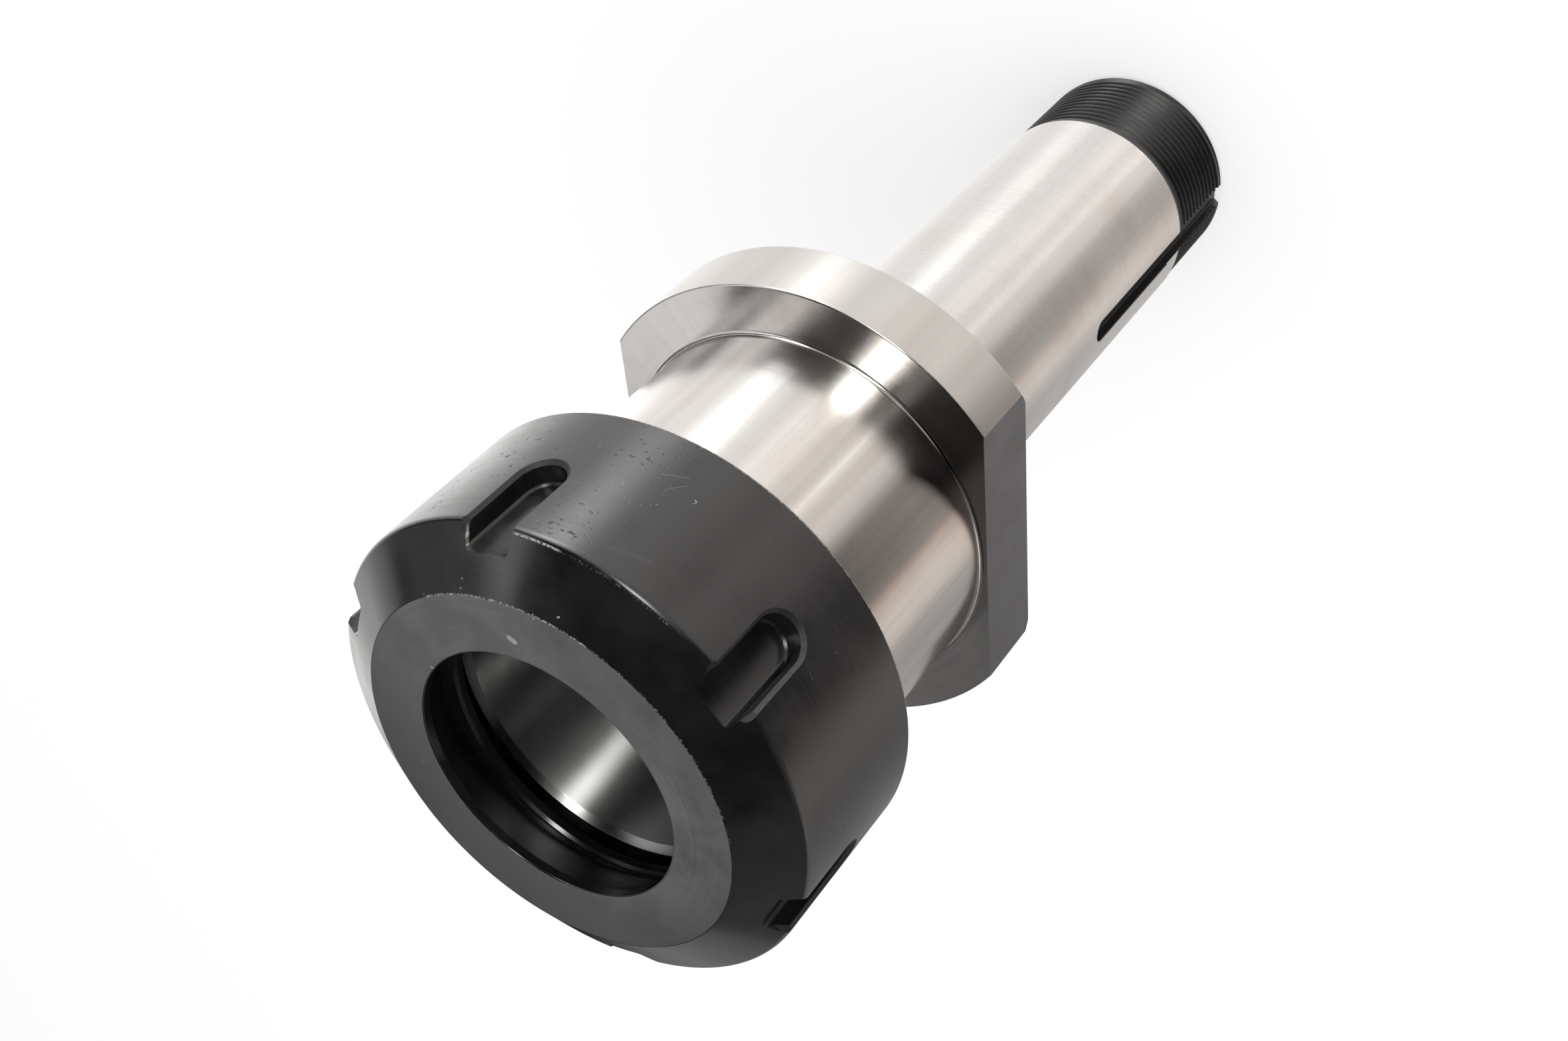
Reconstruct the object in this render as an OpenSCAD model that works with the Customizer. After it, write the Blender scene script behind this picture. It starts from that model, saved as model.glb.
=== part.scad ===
// Collet chuck holder: a turned steel holder with a threaded shank, and its clamping nut.
// Millimetres. Z runs up the turning axis from the rear end of the shank (Z = 0) to the
// front face of the nut. The wrench flats face +X and -X.

/* [Shank] */
// Diameter of the straight ground shank
shank_d = 31.75; // [25:0.05:40]
// Length of the shank from its rear end to the flange
shank_len = 89.7; // [70:0.1:110]
// Length of the threaded rear end
rear_thread_len = 17.1; // [12:0.1:22]
// How far the thread crests lie below the ground shank
rear_thread_drop = 0.2; // [0.1:0.05:0.5]
// Bevel at the rear end
rear_bevel = 1; // [0.5:0.1:1.4]

/* [Keyway] */
// Width of the keyway
key_w = 3.25; // [2:0.05:5]
// Depth of the keyway below the shank
key_depth = 1.45; // [1:0.05:1.6]
// Length of the keyway from the rear end
key_len = 46.6; // [30:0.1:60]
// Direction of the keyway round the axis
key_angle = 176.3; // [0:0.1:360]

/* [Flange] */
// Diameter of the flange
flange_d = 64; // [60:0.1:76]
// Thickness of the flange
flange_t = 10.8; // [8:0.1:16]
// Bevel on the rear edge of the flange
flange_bevel = 0.8; // [0.5:0.1:2.5]
// Width across the two wrench flats
flats_w = 52.3; // [52:0.1:58]

/* [Neck and nose] */
// Diameter of the ground neck
neck_d = 50.4; // [50.2:0.1:52]
// Length of the neck from the flange to the nose thread
neck_len = 25; // [15:0.1:40]
// Diameter of the nose thread over its crests
nose_thread_d = 50; // [48:0.1:50]
// Length of the nose, with its thread, from the neck to the end
nose_len = 18.6; // [17.5:0.1:22]
// Width of the thread runout groove
runout_w = 2.5; // [1.5:0.1:3]
// Depth of the thread runout groove
runout_depth = 0.95; // [0.5:0.05:1.5]

/* [Inside of the holder] */
// Mouth diameter of the collet taper
taper_d = 40; // [38:0.1:41]
// Half angle of the collet taper
taper_angle = 8; // [7:0.1:9]
// Length of the collet taper
taper_len = 36; // [30:0.1:40]
// Depth of the bevel round the mouth
mouth_bevel = 0.7; // [0.3:0.1:1.2]
// Diameter of the through bore
bore_d = 25.4; // [20:0.1:26]
// Diameter of the drawtube thread in the rear end
draw_thread_d = 26.44; // [26.2:0.02:27]
// Length of the drawtube thread
draw_thread_len = 16; // [12:0.1:20]

/* [Nut outside] */
// Diameter of the nut
nut_d = 63; // [60:0.1:66]
// Length of the nut
nut_len = 26.2; // [25:0.1:28]
// Diameter of the flat front face
nut_face_d = 49.1; // [46:0.1:52]
// Angle between the front face and the bevel round it
nut_bevel_angle = 30.5; // [20:0.5:40]
// Rounding between the bevel and the outside
nut_round = 0.8; // [0.5:0.1:2.5]
// Number of spanner slots
slot_n = 6; // [4:1:8]
// Width of a spanner slot
slot_w = 6; // [4:0.1:8]
// Depth of a spanner slot
slot_depth = 3; // [2:0.1:3.4]
// Length of a spanner slot from the front face
slot_len = 15.8; // [12:0.1:18]
// Radius in the floor corners of a spanner slot
slot_corner = 0.7; // [0.3:0.1:1.2]
// Turn of the nut on the holder
nut_turn = 38.3; // [0:0.1:60]

/* [Nut inside] */
// Distance from the front face of the nut back to the end of the nose
nose_back = 11.4; // [11.2:0.1:12.5]
// Diameter of the front opening
nut_bore_d = 34; // [32:0.1:35]
// Length of the straight land in the front opening
land_len = 1.2; // [0.6:0.1:2]
// Half angle of the cone that presses on the collet
nut_cone_angle = 30; // [28:0.5:32]
// Length of that cone
cone_len = 5.2; // [4.5:0.1:5.4]
// Diameter of the groove behind the cone
groove_d = 41.6; // [41.4:0.1:42.5]
// Inner diameter of the eccentric extractor ring
lip_d = 38.8; // [38:0.1:39.5]
// How far the extractor ring lies off the axis
lip_offset = 1; // [0.5:0.1:1]
// Direction in which the extractor ring lies off the axis
lip_angle = 140.3; // [0:0.1:360]
// Distance from the cone to the extractor ring
lip_back = 1.1; // [0.8:0.1:1.4]
// Thickness of the extractor ring
lip_t = 1.5; // [1:0.1:1.8]
// Radial clearance between the nut and the nose thread
thread_play = 0.05; // [0.02:0.01:0.1]
// Length of the thread in the nut
nut_thread_len = 11.3; // [8:0.1:12]
// Depth of the thread runout inside the nut
nut_runout = 0.35; // [0.2:0.05:0.6]
// Step from the nut thread to the rear counterbore
counterbore_step = 0.85; // [0.6:0.05:1.2]

/* [Hidden] */
edge = 0.3;
root_r = 0.8;
eps = 0.01;
big = 100;
fine = 128;
flange_z = shank_len;
neck_z = flange_z + flange_t;
nose_z = neck_z + neck_len;
nose_end_z = nose_z + nose_len;
nut_face_z = nose_end_z + nose_back;
nut_rear_z = nut_face_z - nut_len;
shank_r = shank_d / 2;
rear_thread_r = shank_r - rear_thread_drop;
neck_r = neck_d / 2;
flange_r = flange_d / 2;
nose_thread_r = nose_thread_d / 2;
taper_z = nose_end_z - mouth_bevel;
taper_end_z = taper_z - taper_len;
taper_end_r = taper_d / 2 - taper_len * tan(taper_angle);
bore_r = bore_d / 2;
draw_r = draw_thread_d / 2;
nut_r = nut_d / 2;
nut_thread_r = nose_thread_r + thread_play;
cone_z = nut_face_z - land_len;
cone_end_z = cone_z - cone_len;
cone_end_r = nut_bore_d / 2 + cone_len * tan(nut_cone_angle);
lip_z = cone_end_z - lip_back;
lip_end_z = lip_z - lip_t;
nut_thread_z = nose_end_z - 2 * edge;
nut_thread_end_z = nut_thread_z - nut_thread_len;
counterbore_r = nut_thread_r + counterbore_step;
bevel_len = (nut_r - nut_face_d / 2) * tan(nut_bevel_angle);
slot_floor = nut_r - slot_depth;

// Points of an arc about a centre, for rounded edges in a turned profile
function arc(c, r, a0, a1, n = 5) =
    [for (i = [0:n]) [c[0] + r * cos(a0 + (a1 - a0) * i / n), c[1] + r * sin(a0 + (a1 - a0) * i / n)]];

module turned(points, sides = fine) {
    rotate_extrude($fn = sides)
        polygon(points);
}

// Holder: shank, flange, neck and nose are one turned piece

module holder_outside() {
    turned(concat(
        [
            [0, 0],
            [rear_thread_r - rear_bevel, 0],
            [rear_thread_r, rear_bevel],
            [rear_thread_r, rear_thread_len],
            [shank_r, rear_thread_len + edge],
            [shank_r, flange_z],
            [flange_r - flange_bevel, flange_z],
            [flange_r, flange_z + flange_bevel],
            [flange_r, neck_z - edge],
            [flange_r - edge, neck_z]
        ],
        arc([neck_r + root_r, neck_z + root_r], root_r, 270, 180),
        [
            [neck_r, nose_z - edge],
            [neck_r - edge, nose_z],
            [nose_thread_r - runout_depth, nose_z],
            [nose_thread_r - runout_depth, nose_z + runout_w - runout_depth],
            [nose_thread_r, nose_z + runout_w],
            [nose_thread_r, nose_end_z - 2 * edge],
            [nose_thread_r - 2 * edge, nose_end_z],
            [0, nose_end_z]
        ]
    ));
}

module holder_inside() {
    turned([
        [0, -1],
        [draw_r + edge + 1, -1],
        [draw_r, edge],
        [draw_r, draw_thread_len],
        [bore_r, draw_thread_len + draw_r - bore_r],
        [bore_r, taper_end_z - (taper_end_r - bore_r) / 2],
        [taper_end_r, taper_end_z],
        [taper_d / 2, taper_z],
        [taper_d / 2 + 1.4 * mouth_bevel, nose_end_z],
        [taper_d / 2 + 1.4 * mouth_bevel, nose_end_z + 1],
        [0, nose_end_z + 1]
    ]);
}

module keyway() {
    rotate([0, 0, key_angle])
        translate([shank_r - key_depth, 0, 0]) {
            translate([0, -key_w / 2, -1])
                cube([key_depth + 1, key_w, key_len - key_w / 2 + 1]);
            translate([0, 0, key_len - key_w / 2])
                rotate([0, 90, 0])
                    cylinder(d = key_w, h = key_depth + 1, $fn = 32);
        }
}

module wrench_flats() {
    for (side = [-1, 1])
        translate([side * (flats_w + big) / 2, 0, (flange_z + neck_z) / 2])
            cube([big, big, flange_t + 2 * eps], center = true);
}

module holder_body() {
    color([0.76, 0.75, 0.73])
        difference() {
            holder_outside();
            holder_inside();
            keyway();
            wrench_flats();
        }
}

// Nut: thread, 30 degree cone and extractor ring are in one piece

module nut_outside() {
    round_z = nut_face_z - bevel_len;
    turned(concat(
        [
            [0, nut_rear_z],
            [nut_r - 2 * edge, nut_rear_z],
            [nut_r, nut_rear_z + 2 * edge]
        ],
        bevel_round(round_z),
        [
            [nut_face_d / 2, nut_face_z],
            [0, nut_face_z]
        ]
    ));
}

// The rounding touches the outside and the bevel, so it follows their angle
function bevel_round(z) =
    let (turn = 90 - nut_bevel_angle, back = nut_round * tan(turn / 2))
        arc([nut_r - nut_round, z - back], nut_round, 0, turn);

module nut_inside() {
    turned([
        [0, nut_rear_z - 1],
        [counterbore_r + edge + 1, nut_rear_z - 1],
        [counterbore_r, nut_rear_z + edge],
        [counterbore_r, nut_thread_end_z - counterbore_step],
        [nut_thread_r, nut_thread_end_z],
        [nut_thread_r, nut_thread_z],
        [nut_thread_r + nut_runout, nut_thread_z + nut_runout],
        [nut_thread_r + nut_runout, lip_end_z],
        [nut_bore_d / 2, lip_end_z],
        [nut_bore_d / 2, lip_z],
        [groove_d / 2, lip_z],
        [groove_d / 2, cone_end_z],
        [cone_end_r, cone_end_z],
        [nut_bore_d / 2, cone_z],
        [nut_bore_d / 2, nut_face_z - edge / 2],
        [nut_bore_d / 2 + edge / 2 + 1, nut_face_z + 1],
        [0, nut_face_z + 1]
    ]);
}

// The ring snaps into the groove of a collet and draws it out when the nut is undone.
// Its hole is turned off the axis, so it grips on one side only.
module extractor_hole() {
    rotate([0, 0, lip_angle])
        translate([lip_offset, 0, 0])
            turned([
                [0, lip_end_z - eps],
                [lip_d / 2, lip_end_z - eps],
                [lip_d / 2, lip_z - lip_t / 3],
                [lip_d / 2 + lip_t / 3, lip_z + eps],
                [0, lip_z + eps]
            ]);
}

// Half section of the cutter that leaves a radius in the floor corners
module cutter_half(tall) {
    translate([0, slot_corner])
        square([slot_w / 2, tall - slot_corner]);
    square([slot_w / 2 - slot_corner, slot_corner + eps]);
    translate([slot_w / 2 - slot_corner, slot_corner])
        circle(r = slot_corner, $fn = 24);
}

module spanner_slot() {
    tall = slot_depth + 1;
    end_z = nut_face_z - slot_len + slot_w / 2;
    translate([slot_floor, 0, end_z])
        rotate([0, 90, 0]) {
            rotate_extrude($fn = 32)
                cutter_half(tall);
            rotate([90, 0, -90])
                linear_extrude(slot_len) {
                    cutter_half(tall);
                    mirror([1, 0])
                        cutter_half(tall);
                }
        }
}

module clamping_nut() {
    color([0.16, 0.16, 0.17])
        rotate([0, 0, nut_turn])
            difference() {
                nut_outside();
                nut_inside();
                rotate([0, 0, -nut_turn])
                    extractor_hole();
                for (i = [0:slot_n - 1])
                    rotate([0, 0, i * 360 / slot_n])
                        spanner_slot();
            }
}

holder_body();
clamping_nut();
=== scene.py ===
"""Collet chuck holder and its clamping nut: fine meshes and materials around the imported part.

Sizes are in millimetres, as in the part's source, and become metres when a mesh is made.
Z runs up the turning axis from the rear end of the shank to the front face of the nut.
"""

import math

import bmesh
import bpy
import numpy as np
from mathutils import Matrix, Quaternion, Vector

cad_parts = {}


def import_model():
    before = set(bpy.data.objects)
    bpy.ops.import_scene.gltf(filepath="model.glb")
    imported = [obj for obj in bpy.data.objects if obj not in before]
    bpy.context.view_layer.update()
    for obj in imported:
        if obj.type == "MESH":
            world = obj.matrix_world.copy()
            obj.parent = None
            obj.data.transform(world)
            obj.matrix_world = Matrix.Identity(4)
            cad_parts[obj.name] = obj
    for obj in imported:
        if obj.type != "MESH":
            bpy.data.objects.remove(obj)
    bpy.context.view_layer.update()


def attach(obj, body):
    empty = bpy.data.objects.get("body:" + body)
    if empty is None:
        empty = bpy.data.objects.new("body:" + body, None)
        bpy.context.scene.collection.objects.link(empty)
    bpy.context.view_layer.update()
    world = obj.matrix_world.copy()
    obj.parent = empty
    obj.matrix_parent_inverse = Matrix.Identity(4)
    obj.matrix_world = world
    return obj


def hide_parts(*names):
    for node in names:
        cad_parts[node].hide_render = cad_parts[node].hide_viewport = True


MM = 0.001
HOLDER_SIDES = 192
NUT_SIDES = 240
SHARP_ANGLE = math.radians(28)

# Holder
REAR_THREAD_R = 15.675
REAR_THREAD_LEN = 17.1
REAR_BEVEL = 1.0
REAR_PITCH = 1.27
REAR_THREAD_DEPTH = 0.62
REAR_STEP = 0.3
SHANK_R = 15.875
FLANGE_R = 32.0
FLANGE_Z = 89.7
FLANGE_BEVEL = 0.8
FLATS_HALF = 26.15
NECK_R = 25.2
NECK_Z = 100.5
ROOT_R = 0.5
NOSE_Z = 125.5
NOSE_END_Z = 144.1
NOSE_BEVEL = 0.6
NOSE_THREAD_R = 25.0
NOSE_PITCH = 1.5
NOSE_THREAD_DEPTH = 0.8
RUNOUT_R = 24.05
RUNOUT_FLOOR_LEN = 1.55
RUNOUT_END_Z = 128.0
MOUTH_R = 20.98
TAPER_R = 20.0
TAPER_Z = 143.4
TAPER_END_R = 14.94
TAPER_END_Z = 107.4
BORE_R = 12.7
BORE_BEVEL = 1.12
DRAW_THREAD_R = 13.22
DRAW_THREAD_LEN = 16.0
DRAW_PITCH = 1.058
DRAW_THREAD_DEPTH = 0.45
DRAW_BEVEL = 0.6
DRAW_STEP = 0.52
KEY_HALF = 1.625
KEY_FLOOR_R = 14.425
KEY_LEN = 46.6
KEY_ANGLE = 176.3
KEY_CORNER = 0.15
KEY_RIM = 0.12

# Nut
NUT_R = 31.5
NUT_Z = 129.3
NUT_BEVEL = 0.6
FACE_Z = 155.5
FACE_R = 24.55
ROUND_Z = 151.41
ROUND_R = 0.8
SLOTS = 6
SLOT_HALF = 3.0
SLOT_FLOOR_R = 28.5
SLOT_LEN = 15.8
SLOT_CORNER = 0.7
SLOT_RIM = 0.5
SLOT_ANGLE = 38.3
OPENING_R = 17.0
CONE_Z = 154.3
CONE_END_R = 20.0
CONE_END_Z = 149.1
GROOVE_R = 20.8
LIP_Z = 148.0
LIP_END_Z = 146.5
LIP_R = 19.4
LIP_OFFSET = 1.0
LIP_ANGLE = 140.3
NUT_RUNOUT_R = 25.4
NUT_THREAD_R = 25.05
NUT_THREAD_Z = 143.5
NUT_THREAD_END_Z = 132.2
NUT_THREAD_DEPTH = 0.8
COUNTERBORE_R = 25.9
COUNTERBORE_STEP = 0.85
COUNTERBORE_BEVEL = 0.3

# Cutters, where they reach past the metal
CORNER_STEPS = 3
SLOT_CUTTER_R = 45
FLAT_CUTTER_X = 50
FLAT_CUTTER_Y = 60
FLAT_CUTTER_Z = (70, 110)

# Scratches and chips of the nut: start and end, each as (distance from the axis, angle, z),
# then width and strength
SCRATCHES = [
    ((31.5, -102.6, 136.2), (31.5, -107.4, 134.8), 0.1, 0.3),
    ((31.5, -105.1, 138.2), (31.5, -108.1, 135.9), 0.08, 0.25),
    ((31.5, -111.4, 137.0), (31.5, -111.9, 137.2), 0.14, 0.7),
    ((31.5, -111.9, 137.2), (31.5, -111.6, 137.6), 0.12, 0.5),
    ((31.5, -105.4, 148.6), (31.5, -114.0, 147.2), 0.6, 0.03),
    ((31.5, -96.0, 147.8), (31.5, -101.5, 146.0), 0.5, 0.03),
    ((31.5, -146.3, 141.4), (31.5, -151.9, 142.2), 0.1, 0.15),
    ((31.5, -148.0, 133.6), (31.5, -158.0, 135.6), 0.08, 0.12),
    ((31.5, 20.0, 139.0), (31.5, 27.0, 136.5), 0.12, 0.2),
    ((31.5, 150.0, 134.0), (31.5, 158.0, 135.2), 0.1, 0.2),
    ((19.9, -87.6, 155.5), (19.6, -89.3, 155.5), 0.9, 1.0),
    ((17.5, -38.3, 155.5), (16.9, -39.6, 155.5), 0.3, 0.5),
    ((24.7, -97.2, 155.4), (24.1, -97.6, 155.5), 0.2, 0.7),
    ((25.5, -103.6, 154.94), (25.6, -103.9, 154.88), 0.24, 0.8),
    ((26.0, -75.0, 154.65), (26.1, -75.1, 154.6), 0.18, 0.5),
    ((25.1, -74.5, 155.18), (25.2, -74.6, 155.12), 0.18, 0.5),
    ((31.2, -76.1, 151.3), (29.9, -75.9, 151.9), 0.5, 0.45),
    ((29.9, -75.9, 151.9), (28.9, -75.7, 152.6), 0.6, 1.0),
    ((28.9, -75.7, 152.6), (28.8, -74.9, 152.7), 0.35, 0.8),
]
# Worn edges of the nut: distance from the axis, z, first and last angle, strength
WORN_EDGES = [
    (NUT_R - 0.45, ROUND_Z + 0.26, -98, -87, 0.9),
    (NUT_R - 0.45, ROUND_Z + 0.26, -124, -98, 0.2),
    (FACE_R, FACE_Z - 0.02, -112, -62, 0.6),
    (FACE_R, FACE_Z - 0.02, -176, -112, 0.25),
    (OPENING_R + 0.05, FACE_Z, -130, -52, 0.5),
    (OPENING_R + 0.05, FACE_Z, 50, 92, 0.6),
    (NUT_R, NUT_Z + NUT_BEVEL, -176, -56, 0.6),
]
EDGE_WIDTH = 0.16
PITTED_ANGLES = (-104, -60)
STAIN = (0.5, 0.41, 0.35, 1)
BARE = (0.62, 0.6, 0.56, 1)
PIT = (0.004, 0.0035, 0.003, 1)
PIT_DEPTH = 4e-5

# Materials of the faces, in the order in which main() makes them
GROUND, FACE, FLATS, THREAD, TAPER, BORE, BAND, NECK = range(8)
SIDE, FRONT, INSIDE, SLOT, RIM = range(5)

# Floor and lamp; the lamp's sizes are in metres
FLOOR_HALF = 4000
FLOOR_COLOUR = (0.5, 0.5, 0.5, 1)
FLOOR_GLOW = 0.52
SOFT_LIGHT = (0.8, 0.8, 0.8, 1)
WHITE = (1, 1, 1, 1)
LAMP_PLACE = (-0.5, -0.2, 1.1)
LAMP_TARGET = (0, 0, 0.07)
LAMP_SIZE = 0.9
LAMP_WATTS = 5

# Camera of the photograph, in the part's frame and in metres; its lens and sensor in millimetres
CAMERA_PLACE = (-0.118356, -0.154276, 0.271929)
CAMERA_TURN = (-0.049471, -0.272453, -0.315428, 0.907649)
CAMERA_LENS = 46.593
CAMERA_SENSOR = 36
CAMERA_CLIP = (0.01, 20)


# Turned meshes


def rounded(corners, steps=4, support=0.05):
    """Closed profile points (r, z) from corners (r, z, radius), each rounded by its radius."""
    points = []
    count = len(corners)
    for i, (r, z, radius) in enumerate(corners):
        here = Vector((r, z))
        if not radius:
            points.append((r, z))
            continue
        before = (Vector(corners[i - 1][:2]) - here).normalized()
        after = (Vector(corners[(i + 1) % count][:2]) - here).normalized()
        half = before.angle(after) / 2
        reach = radius / math.tan(half)
        centre = here + (before + after).normalized() * radius / math.sin(half)
        start = here + before * reach
        end = here + after * reach
        first = math.atan2(start.y - centre.y, start.x - centre.x)
        last = math.atan2(end.y - centre.y, end.x - centre.x)
        turn = (last - first + math.pi) % (2 * math.pi) - math.pi
        points.append(tuple(start + before * support))
        for k in range(steps + 1):
            a = first + turn * k / steps
            points.append((centre.x + radius * math.cos(a), centre.y + radius * math.sin(a)))
        points.append(tuple(end + after * support))
    return points


def side_angles(sides):
    """Angle of each side round the axis, in radians."""
    return np.arange(sides) * 2 * math.pi / sides


def thread_rows(r, depth, pitch, z0, z1, sides, rows_per_pitch=8, fade=1.0):
    """Rings of a helical thread from z0 to z1. A depth above 0 goes towards the axis."""
    angles = side_angles(sides)
    count = int(abs(z1 - z0) / pitch * rows_per_pitch)
    rings = []
    for k in range(1, count):
        z = z0 + (z1 - z0) * k / count
        phase = z / pitch - angles / (2 * math.pi)
        wave = (0.5 - 0.5 * np.cos(2 * math.pi * phase)) ** 1.25
        ends = min(1, abs(z - z0) / fade, abs(z1 - z) / fade)
        rings.append((r - depth * wave * ends, z))
    return rings


def eccentric(radius, offset, angle, sides):
    """Distance from the axis to a circle whose centre lies off the axis, for each side."""
    turn = side_angles(sides) - math.radians(angle)
    return offset * np.cos(turn) + np.sqrt(radius**2 - (offset * np.sin(turn)) ** 2)


def turned(name, rings, sides):
    """A solid of revolution from closed rings (radius, z). A radius may vary from side to side."""
    angles = side_angles(sides)
    radii = np.array([np.broadcast_to(r, sides) for r, z in rings])
    heights = np.repeat(np.array([[z] for r, z in rings]), sides, axis=1)
    points = np.stack([radii * np.cos(angles), radii * np.sin(angles), heights], axis=2)
    here = np.arange(len(rings) * sides).reshape(len(rings), sides)
    beside = np.roll(here, -1, axis=1)
    above = np.roll(here, -1, axis=0)
    opposite = np.roll(beside, -1, axis=0)
    faces = np.stack([here, beside, opposite, above], axis=2)
    return mesh_object(name, points.reshape(-1, 3), faces.reshape(-1, 4).tolist())


def mesh_object(name, points, faces):
    """An object from points in millimetres."""
    mesh = bpy.data.meshes.new(name)
    mesh.from_pydata((np.asarray(points) * MM).tolist(), [], faces)
    mesh.validate()
    return new_object(name, mesh)


def new_object(name, data):
    obj = bpy.data.objects.new(name, data)
    bpy.context.scene.collection.objects.link(obj)
    return obj


def cut(obj, cutter):
    """Takes the cutter away from obj, for good."""
    modifier = obj.modifiers.new("cut", "BOOLEAN")
    modifier.operation = "DIFFERENCE"
    modifier.solver = "MANIFOLD"
    modifier.object = cutter
    done = bpy.data.meshes.new_from_object(
        obj.evaluated_get(bpy.context.evaluated_depsgraph_get())
    )
    done.name = obj.name
    obj.modifiers.clear()
    obj.data = done
    bpy.data.objects.remove(cutter)


def shade(obj):
    """Smooth shading, apart from the edges that are sharper than SHARP_ANGLE."""
    obj.data.shade_smooth()
    obj.data.set_sharp_from_angle(angle=SHARP_ANGLE)


# Cutters for the slots and the keyway


def slot_outline(half, end_z, open_z, arc_steps, straight_steps):
    """Points (across, z) and outward directions round a slot with one round end.

    It is open towards open_z."""
    sign = 1 if open_z > end_z else -1
    centre_z = end_z + sign * half
    straight = [
        centre_z + (open_z - centre_z) * k / straight_steps for k in range(straight_steps, 0, -1)
    ]
    outline = [((half, z), (1, 0)) for z in straight]
    for k in range(arc_steps + 1):
        a = math.pi * k / arc_steps
        direction = (math.cos(a), -sign * math.sin(a))
        outline.append(((half * direction[0], centre_z + half * direction[1]), direction))
    outline += [((-half, z), (-1, 0)) for z in reversed(straight)]
    return outline


def slot_cutter(name, outline, floor_r, corner, surface, rim, turns):
    """Closed cutters, one for each angle in turns, with round floor corners and a broken rim.

    surface(z) gives the radius of the surface at z and how much of its normal is radial."""
    levels = []
    for k in range(CORNER_STEPS + 1):
        a = math.pi / (2 * CORNER_STEPS) * k
        level = (floor_r + corner * (1 - math.cos(a)), corner * (math.sin(a) - 1))
        levels.append([level] * len(outline))
    wall, flare, top = [], [], []
    for (across, z), direction in outline:
        radius, radial = surface(z)
        x = math.sqrt(max(radius**2 - across**2, 1)) - rim / radial
        x = max(x, floor_r + corner + 0.01)
        wall.append((x, 0))
        flare.append((x + 2 * rim / radial, 2 * rim))
        top.append((SLOT_CUTTER_R, 2 * rim))
    levels += [wall, flare, top]
    points, faces = [], []
    count = len(outline)
    for turn in turns:
        c, s = math.cos(math.radians(turn)), math.sin(math.radians(turn))
        first = len(points)
        for level in levels:
            for (x, grow), ((across, z), direction) in zip(level, outline):
                y = across + direction[0] * grow
                points.append((x * c - y * s, x * s + y * c, z + direction[1] * grow))
        rows = [[first + n * count + k for k in range(count)] for n in range(len(levels))]
        faces.append(rows[0])
        faces.append(rows[-1][::-1])
        for low, high in zip(rows, rows[1:]):
            for k in range(count):
                nxt = (k + 1) % count
                faces.append([low[k], high[k], high[nxt], low[nxt]])
    obj = mesh_object(name, points, faces)
    face_outwards(obj)
    return obj


def face_outwards(obj):
    made = bmesh.new()
    made.from_mesh(obj.data)
    bmesh.ops.recalc_face_normals(made, faces=made.faces)
    made.to_mesh(obj.data)
    made.free()


def box_cutter(name, low, high):
    (x0, y0, z0), (x1, y1, z1) = low, high
    corners = [(x, y, z) for x in (x0, x1) for y in (y0, y1) for z in (z0, z1)]
    faces = [[0, 1, 3, 2], [4, 6, 7, 5], [0, 4, 5, 1], [2, 3, 7, 6], [0, 2, 6, 4], [1, 5, 7, 3]]
    obj = mesh_object(name, corners, faces)
    face_outwards(obj)
    return obj


# Holder


def holder_mesh():
    """The holder as turned and bored, with its three threads."""
    sides = HOLDER_SIDES
    outside = rounded([
        (DRAW_THREAD_R + DRAW_BEVEL, 0, 0.1),
        (REAR_THREAD_R - REAR_BEVEL, 0, 0.2),
        (REAR_THREAD_R, REAR_BEVEL, 0.2),
        (REAR_THREAD_R, REAR_THREAD_LEN - 0.4, 0),
        (REAR_THREAD_R, REAR_THREAD_LEN, 0),
        (SHANK_R, REAR_THREAD_LEN + REAR_STEP, 0.1),
        (SHANK_R, FLANGE_Z, 0.25),
        (FLANGE_R - FLANGE_BEVEL, FLANGE_Z, 0.12),
        (FLANGE_R, FLANGE_Z + FLANGE_BEVEL, 0.25),
        (FLANGE_R, NECK_Z, 0.22),
        (NECK_R, NECK_Z, ROOT_R),
        (NECK_R, NOSE_Z, 0.25),
        (RUNOUT_R, NOSE_Z, 0.2),
        (RUNOUT_R, NOSE_Z + RUNOUT_FLOOR_LEN, 0.2),
        (NOSE_THREAD_R, RUNOUT_END_Z, 0.15),
        (NOSE_THREAD_R, NOSE_END_Z - NOSE_BEVEL, 0.15),
        (NOSE_THREAD_R - NOSE_BEVEL, NOSE_END_Z, 0.1),
        (MOUTH_R, NOSE_END_Z, 0.1),
        (TAPER_R, TAPER_Z, 0.15),
        (TAPER_END_R, TAPER_END_Z, 0.1),
        (BORE_R, TAPER_END_Z - BORE_BEVEL, 0.15),
        (BORE_R, DRAW_THREAD_LEN + DRAW_STEP, 0),
        (DRAW_THREAD_R, DRAW_THREAD_LEN, 0),
        (DRAW_THREAD_R, DRAW_BEVEL, 0),
    ])
    rings = with_threads(outside, [
        (REAR_THREAD_R, REAR_THREAD_DEPTH, REAR_PITCH, REAR_BEVEL + 0.3, REAR_THREAD_LEN - 0.5),
        (NOSE_THREAD_R, NOSE_THREAD_DEPTH, NOSE_PITCH, RUNOUT_END_Z + 0.2, NOSE_END_Z - 0.8),
        (DRAW_THREAD_R, DRAW_THREAD_DEPTH, DRAW_PITCH, DRAW_THREAD_LEN - 0.2, 0.8),
    ], sides)
    return turned("holder_body_fine", rings, sides)


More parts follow.
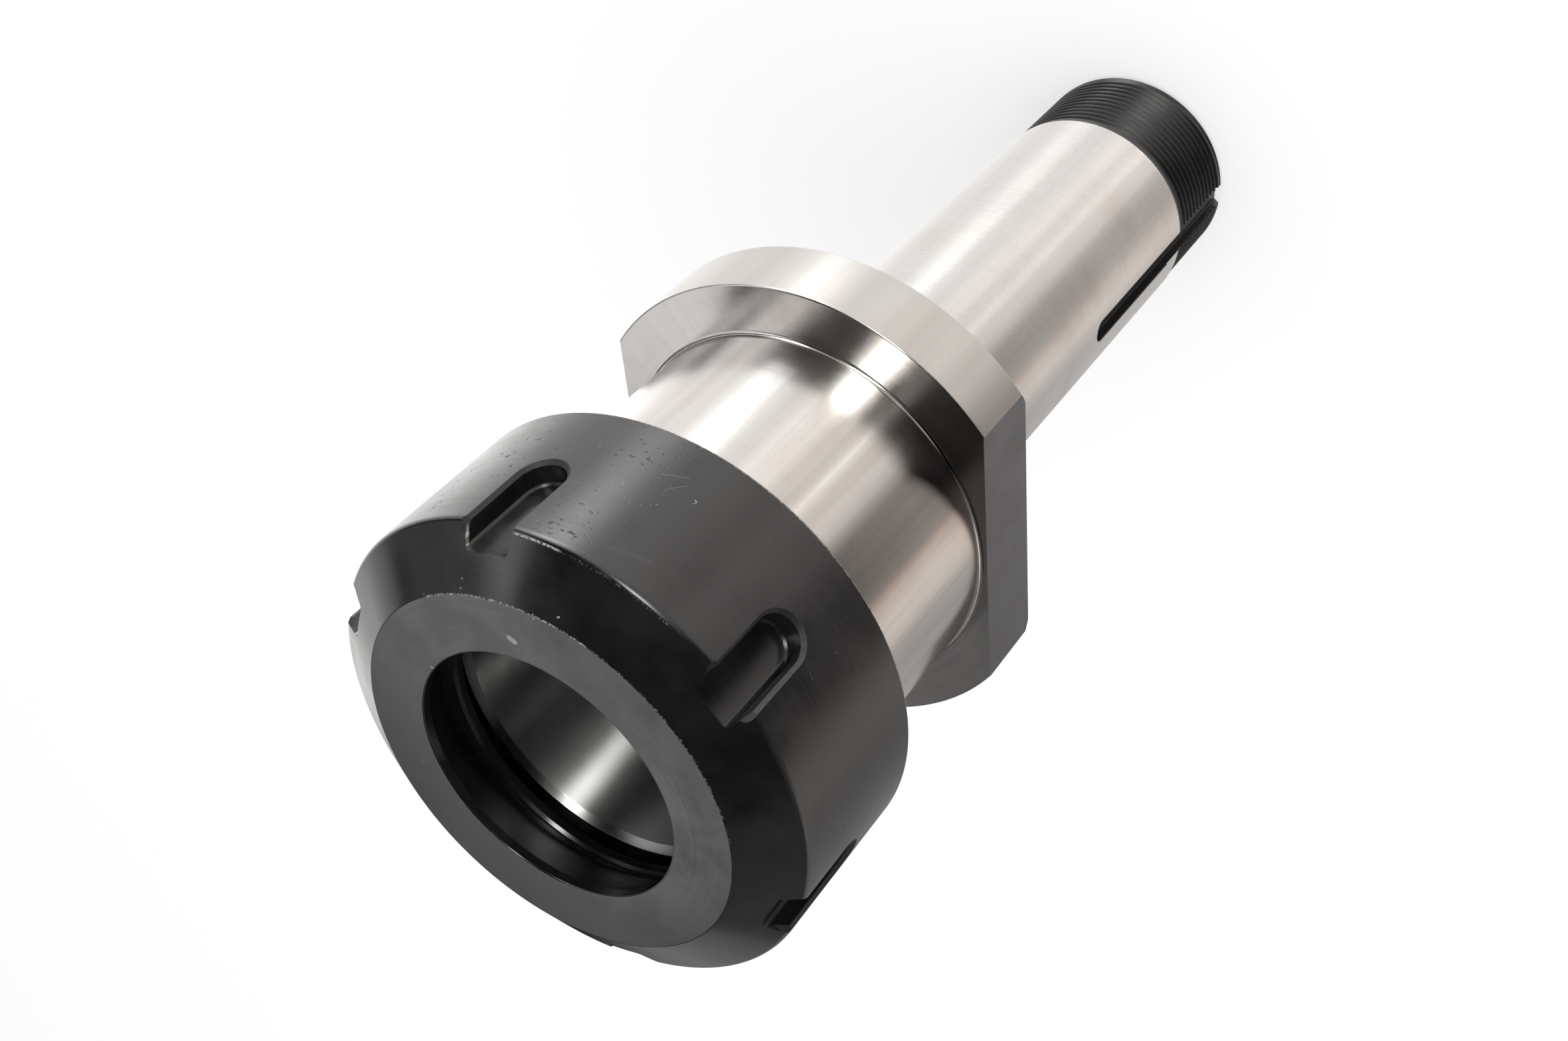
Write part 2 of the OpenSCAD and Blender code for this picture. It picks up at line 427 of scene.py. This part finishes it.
def with_threads(profile, threads, sides):
    """Rings of the profile with thread rows put into the straight stretches that hold a thread."""
    rings = list(profile)
    for r, depth, pitch, z0, z1 in threads:
        for i, (a, b) in enumerate(zip(rings, rings[1:])):
            straight = np.ndim(a[0]) == 0 and np.ndim(b[0]) == 0
            if not straight or abs(a[0] - r) > 0.01 or abs(b[0] - r) > 0.01:
                continue
            if min(a[1], b[1]) <= min(z0, z1) and max(a[1], b[1]) >= max(z0, z1):
                rows = thread_rows(r, depth, pitch, z0, z1, sides)
                rings[i + 1 : i + 1] = rows
                break
    return rings


def make_holder():
    """The holder with its keyway and its two wrench flats."""
    holder = holder_mesh()
    outline = slot_outline(KEY_HALF, KEY_LEN, -2, arc_steps=20, straight_steps=4)
    cut(holder, slot_cutter(
        "keyway_cutter", outline, KEY_FLOOR_R, KEY_CORNER, shank_surface, KEY_RIM, [KEY_ANGLE]
    ))
    low_z, high_z = FLAT_CUTTER_Z
    for side in (-1, 1):
        near, far = sorted([side * FLATS_HALF, side * FLAT_CUTTER_X])
        low, high = (near, -FLAT_CUTTER_Y, low_z), (far, FLAT_CUTTER_Y, high_z)
        cut(holder, box_cutter("flat_cutter", low, high))
    shade(holder)
    return holder


def shank_surface(z):
    """Radius of the shank at any z, and how much of its normal is radial."""
    return SHANK_R, 1


# Nut


def nut_surface(z):
    """Radius of the nut's outside at z, and how much of its normal is radial."""
    if z <= ROUND_Z:
        return NUT_R, 1
    slope = (NUT_R - FACE_R) / (FACE_Z - ROUND_Z)
    return NUT_R - slope * (z - ROUND_Z), 1 / math.hypot(1, slope)


def nut_mesh():
    """The nut as turned, with its thread and the extractor ring, but without its slots."""
    sides = NUT_SIDES
    lip = eccentric(LIP_R, LIP_OFFSET, LIP_ANGLE, sides)
    outside = rounded([
        (COUNTERBORE_R + COUNTERBORE_BEVEL, NUT_Z, 0.1),
        (NUT_R - NUT_BEVEL, NUT_Z, 0.25),
        (NUT_R, NUT_Z + NUT_BEVEL, 0.25),
        (NUT_R, ROUND_Z, ROUND_R),
        (FACE_R, FACE_Z, 0.25),
        (OPENING_R, FACE_Z, 0.2),
        (OPENING_R, CONE_Z, 0.15),
        (CONE_END_R, CONE_END_Z, 0.08),
        (GROOVE_R, CONE_END_Z, 0),
        (GROOVE_R, LIP_Z, 0),
    ], steps=5)
    # The extractor ring lies off the axis, so on one side it runs out in the groove's wall
    ring = [
        (np.minimum(lip + 0.5, GROOVE_R - 0.02), LIP_Z),
        (np.minimum(lip + 0.3, GROOVE_R - 0.04), LIP_Z - 0.05),
        (np.minimum(lip, GROOVE_R - 0.06), LIP_Z - 0.45),
        (lip, LIP_Z - 0.6),
        (lip, LIP_END_Z + 0.15),
        (lip + 0.04, LIP_END_Z + 0.04),
        (lip + 0.15, LIP_END_Z),
    ]
    thread = thread_rows(
        NUT_THREAD_R, -NUT_THREAD_DEPTH, NOSE_PITCH, NUT_THREAD_Z, NUT_THREAD_END_Z, sides
    )
    inside = [
        (NUT_RUNOUT_R, LIP_END_Z),
        (NUT_RUNOUT_R, NUT_THREAD_Z + 0.35),
        (NUT_THREAD_R, NUT_THREAD_Z),
        *thread,
        (NUT_THREAD_R, NUT_THREAD_END_Z),
        (COUNTERBORE_R, NUT_THREAD_END_Z - COUNTERBORE_STEP),
        (COUNTERBORE_R, NUT_Z + COUNTERBORE_BEVEL),
    ]
    return turned("clamping_nut_fine", outside + ring + inside, sides)


def make_nut():
    """The nut with its spanner slots."""
    nut = nut_mesh()
    turns = [SLOT_ANGLE + k * 360 / SLOTS for k in range(SLOTS)]
    outline = slot_outline(
        SLOT_HALF, FACE_Z - SLOT_LEN, FACE_Z + 1.5, arc_steps=32, straight_steps=14
    )
    cut(nut, slot_cutter(
        "slot_cutter", outline, SLOT_FLOOR_R, SLOT_CORNER, nut_surface, SLOT_RIM, turns
    ))
    shade(nut)
    return nut


# Materials


class Nodes:
    """Adds shader nodes to a tree. An input is a number, a colour or another node's output."""

    def __init__(self, tree):
        self.tree = tree

    def add(self, kind, **settings):
        node = self.tree.nodes.new(kind)
        for key, value in settings.items():
            setattr(node, key, value)
        return node

    def put(self, socket, value):
        """Links an output to a socket, or sets the socket's own value. None leaves it alone."""
        if isinstance(value, bpy.types.NodeSocket):
            self.tree.links.new(value, socket)
        elif value is not None:
            socket.default_value = value

    def math(self, operation, a, b=None, clamp=False):
        node = self.add("ShaderNodeMath", operation=operation, use_clamp=clamp)
        self.put(node.inputs[0], a)
        self.put(node.inputs[1], b)
        return node.outputs[0]

    def smooth(self, value, low, high, to_low=0.0, to_high=1.0):
        """Smooth step of value from low to high; low may be the larger one."""
        node = self.add("ShaderNodeMapRange", interpolation_type="SMOOTHSTEP")
        if low > high:
            low, high, to_low, to_high = high, low, to_high, to_low
        for socket, x in zip(node.inputs[:5], (value, low, high, to_low, to_high)):
            self.put(socket, x)
        return node.outputs[0]

    def mix(self, factor, a, b):
        node = self.add("ShaderNodeMix", data_type="FLOAT")
        for socket, x in zip((node.inputs[0], node.inputs[2], node.inputs[3]), (factor, a, b)):
            self.put(socket, x)
        return node.outputs[0]

    def blend(self, factor, a, b, how="MIX"):
        node = self.add("ShaderNodeMix", data_type="RGBA", blend_type=how)
        for socket, x in zip((node.inputs[0], node.inputs[6], node.inputs[7]), (factor, a, b)):
            self.put(socket, x)
        return node.outputs[2]

    def noise(self, vector, scale, detail=2.0, roughness=0.5):
        node = self.add("ShaderNodeTexNoise")
        self.put(node.inputs["Vector"], vector)
        self.put(node.inputs["Scale"], scale)
        self.put(node.inputs["Detail"], detail)
        self.put(node.inputs["Roughness"], roughness)
        return node.outputs["Fac"]

    def split(self, vector):
        node = self.add("ShaderNodeSeparateXYZ")
        self.put(node.inputs[0], vector)
        return node.outputs

    def join(self, x, y, z):
        node = self.add("ShaderNodeCombineXYZ")
        for socket, value in zip(node.inputs, (x, y, z)):
            self.put(socket, value)
        return node.outputs[0]

    def flat_length(self, x, y):
        squares = self.math("ADD", self.math("MULTIPLY", x, x), self.math("MULTIPLY", y, y))
        return self.math("SQRT", squares)

    def place(self):
        """Position on the piece (vector, x, y, z, distance from the axis), in metres."""
        vector = self.add("ShaderNodeTexCoord").outputs["Object"]
        x, y, z = self.split(vector)
        return vector, x, y, z, self.flat_length(x, y)

    def lines(self, place, along, across):
        """Coordinates for marks that run round the axis, on the sides and on the faces alike."""
        _, x, y, z, r = place
        return self.join(
            self.math("MULTIPLY", x, along),
            self.math("MULTIPLY", y, along),
            self.math("MULTIPLY", self.math("ADD", z, r), across),
        )

    def rays(self, place, around, along):
        """Coordinates for streaks that run along the axis, as used by the steel's painted
        reflection streaks.
        """
        _, x, y, z, r = place
        return self.join(
            self.math("MULTIPLY", self.math("DIVIDE", x, r), around),
            self.math("MULTIPLY", self.math("DIVIDE", y, r), around),
            self.math("MULTIPLY", z, along),
        )

    def vector_math(self, operation, a, b=None):
        node = self.add("ShaderNodeVectorMath", operation=operation)
        self.put(node.inputs[0], a)
        self.put(node.inputs[1], b)
        return node.outputs["Value" if operation in ("DOT_PRODUCT", "LENGTH") else 0]

    def scaled(self, vector, factor):
        node = self.add("ShaderNodeVectorMath", operation="SCALE")
        self.put(node.inputs[0], vector)
        self.put(node.inputs["Scale"], factor)
        return node.outputs[0]

    def stroke(self, vector, start, end, width):
        """Mask of a scratch: 1 on the line from start to end, 0 from half its width away."""
        axis = end - start
        offset = self.vector_math("SUBTRACT", vector, start)
        along = self.vector_math("DOT_PRODUCT", offset, axis)
        along = self.math("DIVIDE", along, max(axis.length_squared, 1e-12), clamp=True)
        foot = self.scaled(axis, along)
        gap = self.vector_math("LENGTH", self.vector_math("SUBTRACT", offset, foot))
        return self.smooth(gap, width * 0.5, width * 0.2)

    def specks(self, vector, size, share):
        """Mask of small specks of a size in cells, in a share of the cells of vector."""
        node = self.add("ShaderNodeTexVoronoi")
        self.put(node.inputs["Vector"], vector)
        node.inputs["Scale"].default_value = 1.0
        chosen = self.math("GREATER_THAN", self.split(node.outputs["Color"])[0], 1 - share)
        spots = self.smooth(node.outputs["Distance"], size, size * 0.5)
        return self.math("MULTIPLY", spots, chosen)

    def between(self, value, low, high, soft):
        """Mask of the range from low to high, with soft ends."""
        rise = self.smooth(value, low - soft, low)
        return self.math("MULTIPLY", rise, self.smooth(value, high + soft, high))

    def highest(self, values):
        found = values[0]
        for value in values[1:]:
            found = self.math("MAXIMUM", found, value)
        return found

    def bump(self, height, distance):
        node = self.add("ShaderNodeBump")
        self.put(node.inputs["Height"], height)
        self.put(node.inputs["Distance"], distance)
        self.put(node.inputs["Strength"], 1.0)
        return node.outputs[0]

    def round_tangent(self):
        """Tangent round the axis, along which the turning marks run."""
        return self.add("ShaderNodeTangent", direction_type="RADIAL", axis="Z").outputs[0]


def new_material(name, metallic, **sockets):
    """A material, its node helper and its Principled shader with plain socket values set."""
    material = bpy.data.materials.new(name)
    material.use_nodes = True
    nodes = Nodes(material.node_tree)
    shader = material.node_tree.nodes["Principled BSDF"]
    shader.inputs["Metallic"].default_value = metallic
    for key, value in sockets.items():
        shader.inputs[key.replace("_", " ")].default_value = value
    return material, nodes, shader


def steel(name, light, dark, roughness, anisotropy, reflection_streak=0.5, mark_height=0.5e-6, stain=0.3):
    """Steel with fine marks round the axis, soft streaks along it painted into its colour as
    reflections, and faint brown stains.
    """
    material, n, shader = new_material(
        name, 1.0, Anisotropic=anisotropy, Anisotropic_Rotation=0.25
    )
    place = n.place()
    marks = n.noise(n.lines(place, 10, 6500), 1.0, 2.0, 0.6)
    bands = n.noise(n.lines(place, 12, 260), 1.0, 3.0, 0.6)
    # Painted reflection: streaks along the axis lighten and darken the colour as streaked
    # reflections of the studio would.
    streaks = n.noise(n.rays(place, 11, 9), 1.0, 4.0, 0.65)
    smudges = n.noise(place[0], 60.0, 4.0, 0.6)
    colour = n.blend(n.smooth(streaks, 0.35, 0.68, 0.0, reflection_streak), light, dark)
    colour = n.blend(n.smooth(bands, 0.35, 0.75, 0.0, 0.25), colour, dark)
    colour = n.blend(n.smooth(smudges, 0.48, 0.78, 0.0, stain), colour, STAIN)
    n.put(shader.inputs["Base Color"], colour)
    rough = n.smooth(marks, 0.2, 0.8, roughness * 0.9, roughness * 1.1)
    rough = n.math("ADD", rough, n.smooth(smudges, 0.4, 0.8, 0.0, 0.05))
    n.put(shader.inputs["Roughness"], rough)
    n.put(shader.inputs["Normal"], n.bump(marks, mark_height))
    n.put(shader.inputs["Tangent"], n.round_tangent())
    return material


def milled_steel(name):
    """The wrench flats: dark satin steel with short marks of a milling cutter."""
    material, n, shader = new_material(name, 1.0, Anisotropic=0.3)
    vector, x, y, z, _ = n.place()
    stretched = n.join(
        n.math("MULTIPLY", x, 30), n.math("MULTIPLY", y, 60), n.math("MULTIPLY", z, 2600)
    )
    marks = n.noise(stretched, 1.0, 2.0, 0.5)
    patches = n.noise(vector, 160.0, 3.0, 0.6)
    colour = n.blend(patches, (0.12, 0.125, 0.13, 1), (0.148, 0.153, 0.158, 1))
    n.put(shader.inputs["Base Color"], colour)
    n.put(shader.inputs["Roughness"], n.smooth(patches, 0.3, 0.7, 0.36, 0.48))
    n.put(shader.inputs["Normal"], n.bump(marks, 2e-6))
    return material


def black_oxide(
    name, base, roughness, anisotropy, line_height=0.5e-6, ior=1.6, worn=False, dust=0.4
):
    """Satin black oxide over turned steel, with fine turning marks and faint patches.

    Where it is worn, it also has the nut's wear, with dust of this strength."""
    material, n, shader = new_material(
        name, 0.0, IOR=ior, Anisotropic=anisotropy, Anisotropic_Rotation=0.25
    )
    place = n.place()
    marks = n.noise(n.lines(place, 14, 4200), 1.0, 2.0, 0.6)
    patches = n.noise(place[0], 130.0, 5.0, 0.62)
    grain = n.noise(place[0], 3400.0, 2.0, 0.6)
    dark = tuple(c * 0.7 for c in base) + (1,)
    light = tuple(c * 1.4 for c in base) + (1,)
    colour = n.blend(n.smooth(patches, 0.3, 0.7), dark, light)
    rough = n.smooth(marks, 0.2, 0.8, roughness * 0.9, roughness * 1.1)
    rough = n.math("ADD", rough, n.smooth(patches, 0.35, 0.75, -0.03, 0.05))
    height = n.math("ADD", n.math("MULTIPLY", marks, 0.25), n.math("MULTIPLY", grain, 0.8))
    if worn:
        bare, pits = nut_wear(n, place, dust)
        height = n.math("SUBTRACT", height, n.math("MULTIPLY", pits, PIT_DEPTH / line_height))
        colour = n.blend(pits, colour, PIT)
        colour = n.blend(bare, colour, BARE)
        rough = n.mix(n.math("MAXIMUM", pits, bare), rough, 0.55)
        n.put(shader.inputs["Metallic"], bare)
    n.put(shader.inputs["Base Color"], colour)
    n.put(shader.inputs["Roughness"], rough)
    n.put(shader.inputs["Normal"], n.bump(height, line_height))
    n.put(shader.inputs["Tangent"], n.round_tangent())
    return material


def round_axis(r, angle, z):
    """Place in metres from millimetres and degrees."""
    a = math.radians(angle)
    return Vector((r * math.cos(a), r * math.sin(a), z)) * MM


def nut_wear(n, place, dust):
    """Masks of the nut's bare metal and dust, and of its small dark pits."""
    vector, x, y, z, r = place
    angle = n.math("ARCTAN2", y, x)
    scratches = []
    for start, end, width, strength in SCRATCHES:
        scratch = n.stroke(vector, round_axis(*start), round_axis(*end), width * MM)
        scratches.append(n.math("MULTIPLY", scratch, strength))
    crumbs = n.noise(vector, 3600.0, 2.0, 0.7)
    worn = [edge_wear(n, r, z, angle, crumbs, *edge) for edge in WORN_EDGES]
    if dust:
        worn.append(n.math("MULTIPLY", n.specks(n.lines(place, 900, 900), 0.09, 0.05), dust))
    bare = n.highest(scratches + worn)
    first, last = PITTED_ANGLES
    pitted = n.between(angle, math.radians(first), math.radians(last), 0.1)
    below_rounding = n.smooth(z, (ROUND_Z - 0.2) * MM, (ROUND_Z - 1.2) * MM)
    pitted = n.math("MULTIPLY", pitted, below_rounding)
    outside = n.smooth(r, (NUT_R - 0.4) * MM, (NUT_R - 0.2) * MM)
    pitted = n.math("MULTIPLY", pitted, outside)
    cloud = n.smooth(n.noise(vector, 190.0, 2.0, 0.5), 0.42, 0.6)
    large = n.specks(n.lines(place, 480, 900), 0.22, 0.4)
    small = n.specks(n.lines(place, 1200, 2000), 0.3, 0.35)
    pits = n.math("MULTIPLY", n.math("MAXIMUM", large, small), n.math("MULTIPLY", cloud, pitted))
    return bare, pits


def edge_wear(n, r, z, angle, crumbs, edge_r, edge_z, first, last, strength):
    """Worn crumbs along a turned edge, between two angles in degrees."""
    half = EDGE_WIDTH / 2
    ring = n.between(r, (edge_r - half) * MM, (edge_r + half) * MM, 0.05 * MM)
    level = n.between(z, (edge_z - half) * MM, (edge_z + half) * MM, 0.05 * MM)
    stretch = n.between(angle, math.radians(first), math.radians(last), 0.03)
    gap = 0.56 - 0.2 * strength
    kept = n.smooth(crumbs, gap, gap + 0.16, 0.0, strength)
    return n.math("MULTIPLY", n.math("MULTIPLY", ring, level), n.math("MULTIPLY", stretch, kept))


def dress(obj, materials, choose):
    """Gives each face the material whose index choose(centre, normal) returns."""
    obj.data.materials.clear()
    for material in materials:
        obj.data.materials.append(material)
    for face in obj.data.polygons:
        face.material_index = choose(face.center / MM, face.normal)


def holder_zone(centre, normal):
    """Index of the material for a face of the holder. The keyway is as black as the thread."""
    r = math.hypot(centre.x, centre.y)
    outward = normal.x * centre.x + normal.y * centre.y > -0.2 * r
    if not outward or (r < MOUTH_R - 0.08 and centre.z > NECK_Z):
        return TAPER if centre.z > TAPER_END_Z - 0.5 else BORE
    if centre.z < REAR_THREAD_LEN + 0.1:
        return THREAD
    if abs(centre.x) > FLATS_HALF - 0.01 and abs(normal.x) > 0.99:
        return FLATS
    if abs(normal.z) > 0.8 and centre.z > NECK_Z - 0.5:
        return FACE
    if r < SHANK_R - 0.05 and centre.z < KEY_LEN + 0.5:
        return THREAD
    if centre.z > NECK_Z:
        return NECK
    return BAND if r > SHANK_R + 0.5 else GROUND


def nut_zone(centre, normal):
    """Index of the material for a face of the nut."""
    r = math.hypot(centre.x, centre.y)
    radial = (normal.x * centre.x + normal.y * centre.y) / r
    if radial < -0.2 and r < SLOT_FLOOR_R - 1.5:
        return INSIDE
    if r < NUT_R - 0.45 and normal.z < 0.3 and NUT_Z + 1 < centre.z < FACE_Z - 0.3:
        return SLOT
    aside = abs(normal.y * centre.x - normal.x * centre.y) / r
    round_end = normal.z > 0.3 and NUT_Z + 1 < centre.z < FACE_Z - SLOT_LEN + SLOT_HALF
    if radial > 0.3 and (aside > 0.35 or round_end) and r > NUT_R - 1:
        return RIM
    if normal.z > 0.6 and centre.z > ROUND_Z - 1:
        return FRONT
    return SIDE


# Floor, light and camera


def make_floor():
    """Floor whose colour takes the shadow. A glow that only the camera sees makes it white."""
    signs = ((-1, -1), (1, -1), (1, 1), (-1, 1))
    corners = [(x * FLOOR_HALF, y * FLOOR_HALF, 0) for x, y in signs]
    floor = mesh_object("floor", corners, [[0, 1, 2, 3]])
    floor.visible_glossy = False
    material, n, shader = new_material(
        "floor_white", 0.0, Roughness=0.9, Base_Color=FLOOR_COLOUR, Emission_Color=WHITE
    )
    shader.inputs["Specular IOR Level"].default_value = 0.0
    camera_ray = n.add("ShaderNodeLightPath").outputs["Is Camera Ray"]
    n.put(shader.inputs["Emission Strength"], n.math("MULTIPLY", camera_ray, FLOOR_GLOW))
    floor.data.materials.append(material)


def card(n, direction, azimuth, half, low, high, level, tint, soft):
    """Light from a soft-edged card of the studio: azimuths and elevations in degrees."""
    x, y, z, flat = direction
    a = math.radians(azimuth)
    towards = n.math("ADD", n.math("MULTIPLY", x, math.cos(a)), n.math("MULTIPLY", y, math.sin(a)))
    towards = n.math("DIVIDE", towards, flat)
    outer = math.cos(math.radians(min(half + soft, 180)))
    inner = math.cos(math.radians(max(half - soft, 0)))
    mask = n.smooth(towards, outer, inner, 0.0, level)
    for edge, step in ((low, soft), (high, -soft)):
        if abs(edge) < 90:
            start, end = height_at(edge - step / 2), height_at(edge + step / 2)
            mask = n.math("MULTIPLY", mask, n.smooth(z, start, end))
    return n.scaled(tint, mask)


def height_at(elevation):
    """Z of a unit direction at an elevation in degrees."""
    return math.sin(math.radians(max(min(elevation, 90), -90)))


STUDIO = [
    # azimuth, half width, lowest, highest elevation, level, tint, softness of the edges
    (113, 48, -90, 12, 0.46, (1.0, 0.98, 0.96), 8),
    (148, 12, -72, 12, 0.45, (1.0, 0.84, 0.7), 6),
    (161, 4, -80, -20, 0.2, (1.0, 0.5, 0.3), 3),
    (110, 52, -90, -46, 0.34, (1.0, 0.98, 0.96), 6),
    (184, 24, -90, -41, 0.36, (1.0, 0.92, 0.86), 3),
    (212, 50, -90, -48, 0.55, (1.0, 0.96, 0.93), 5),
    (145, 40, -22, 12, 0.3, (1.0, 0.95, 0.92), 10),
    (238, 29, -90, 12, 0.92, (1.0, 0.94, 0.89), 8),
    (234, 1.6, -80, 12, 0.75, (1.0, 0.99, 0.96), 1.5),
    (235, 2.5, 36, 60, 0.8, (1.0, 1.0, 0.98), 2),
    (333, 69, -90, 8, 1.27, (1.0, 0.985, 0.965), 8),
    (10, 22, -39, -10, 0.9, (1.0, 1.0, 0.99), 4),
    (41, 9, -27, -8, 0.55, (1.0, 1.0, 1.0), 4),
    (296, 7, -36, 10, 8.0, (1.0, 1.0, 1.0), 3),
    (303, 8, 8, 30, 1.2, (1.0, 1.0, 1.0), 6),
    (257, 2.5, -80, 24, 0.45, (1.0, 1.0, 0.97), 2),
    (258, 5, 24, 60, 16.0, (1.0, 1.0, 0.96), 3),
    (331, 15, 35, 54, 1.8, (1.0, 1.0, 1.0), 4),
    (14, 14, 38, 56, 0.9, (1.0, 1.0, 1.0), 5),
    (356, 18, 22, 62, 0.3, (1.0, 1.0, 1.0), 8),
    (34, 24, 5, 18, 0.8, (1.0, 1.0, 1.0), 6),
    (41, 10, 37, 60, 1.15, (1.0, 1.0, 1.0), 4),
    (48, 12, 29.5, 35.5, 1.7, (1.0, 1.0, 1.0), 3),
    (62, 12, 24, 60, 0.1, (1.0, 1.0, 1.0), 5),
    (125, 50, 14, 48.5, 0.17, (1.0, 0.98, 0.96), 2),
]


def make_world():
    """White for the camera, even light for matt surfaces, and a studio of soft cards for gloss."""
    world = bpy.data.worlds.new("studio")
    bpy.context.scene.world = world
    world.use_nodes = True
    world.cycles.sampling_method = "NONE"
    n = Nodes(world.node_tree)
    x, y, z = n.split(n.add("ShaderNodeTexCoord").outputs["Generated"])
    flat = n.math("MAXIMUM", n.flat_length(x, y), 0.001)
    light = None
    for row in STUDIO:
        one = card(n, (x, y, z, flat), *row)
        light = one if light is None else n.vector_math("ADD", light, one)
    path = n.add("ShaderNodeLightPath").outputs
    colour = n.blend(path["Is Glossy Ray"], SOFT_LIGHT, light)
    colour = n.blend(path["Is Camera Ray"], colour, WHITE)
    background = world.node_tree.nodes["Background"]
    n.put(background.inputs["Color"], colour)
    background.inputs["Strength"].default_value = 1.0


def make_lamp():
    """Large soft disk lamp over the nut, which gloss doesn't show."""
    light = bpy.data.lights.new("key", "AREA")
    light.shape = "DISK"
    light.size = LAMP_SIZE
    light.energy = LAMP_WATTS
    lamp = new_object("key", light)
    lamp.location = LAMP_PLACE
    lamp.rotation_mode = "QUATERNION"
    lamp.rotation_quaternion = (Vector(LAMP_TARGET) - Vector(LAMP_PLACE)).to_track_quat("-Z", "Y")
    lamp.visible_glossy = False


def make_camera():
    """Camera at the photograph's place, as it was fitted to the edges of the turned profile."""
    camera = new_object("camera", bpy.data.cameras.new("camera"))
    camera.location = CAMERA_PLACE
    camera.rotation_mode = "QUATERNION"
    camera.rotation_quaternion = Quaternion(CAMERA_TURN)
    camera.data.lens = CAMERA_LENS
    camera.data.sensor_width = CAMERA_SENSOR
    camera.data.clip_start, camera.data.clip_end = CAMERA_CLIP
    bpy.context.scene.camera = camera


def main():
    """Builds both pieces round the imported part, then the floor, light and camera."""
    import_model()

    holder = make_holder()
    holder_materials = [
        steel("ground_steel", (0.56, 0.55, 0.54, 1), (0.49, 0.475, 0.46, 1), 0.26, 0.6),
        steel("turned_face", (0.56, 0.545, 0.53, 1), (0.46, 0.44, 0.42, 1), 0.18, 0.3, 0.3, 0.8e-6),
        milled_steel("milled_flats"),
        black_oxide("black_thread", (0.006, 0.006, 0.0065), 0.42, 0.2, ior=1.48),
        steel(
            "reamed_taper", (0.66, 0.66, 0.655, 1), (0.58, 0.58, 0.575, 1), 0.36, 1.0,
            mark_height=0.1e-6, stain=0.08,
        ),
        # The bore's steel is much darker than the taper's: painted shade for the deep hole.
        steel("bore_painted_shade", (0.4, 0.39, 0.38, 1), (0.3, 0.29, 0.28, 1), 0.3, 0.5),
        steel("ground_band", (0.49, 0.475, 0.46, 1), (0.41, 0.395, 0.38, 1), 0.3, 0.5),
        steel("polished_neck", (0.62, 0.6, 0.585, 1), (0.53, 0.505, 0.485, 1), 0.19, 0.65, 0.7),
    ]
    dress(holder, holder_materials, holder_zone)
    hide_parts("holder_body")
    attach(holder, "holder")

    nut = make_nut()
    nut_materials = [
        black_oxide("black_oxide_side", (0.0085, 0.0085, 0.009), 0.3, 0.35, worn=True),
        black_oxide("black_oxide_front", (0.0075, 0.0075, 0.008), 0.19, 0.2, 0.3e-6, worn=True),
        black_oxide("black_oxide_inside", (0.006, 0.006, 0.0065), 0.22, 0.4),
        black_oxide(
            "black_oxide_slot", (0.006, 0.006, 0.0065), 0.2, 0.0, 0.25e-6, worn=True, dust=0
        ),
        black_oxide(
            "black_oxide_rim", (0.008, 0.008, 0.0085), 0.6, 0.0, 0.25e-6, 1.55, worn=True, dust=0
        ),
    ]
    dress(nut, nut_materials, nut_zone)
    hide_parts("clamping_nut")
    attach(nut, "nut")

    make_floor()
    make_world()
    make_lamp()
    make_camera()
    bpy.context.scene.view_settings.view_transform = "Standard"


main()
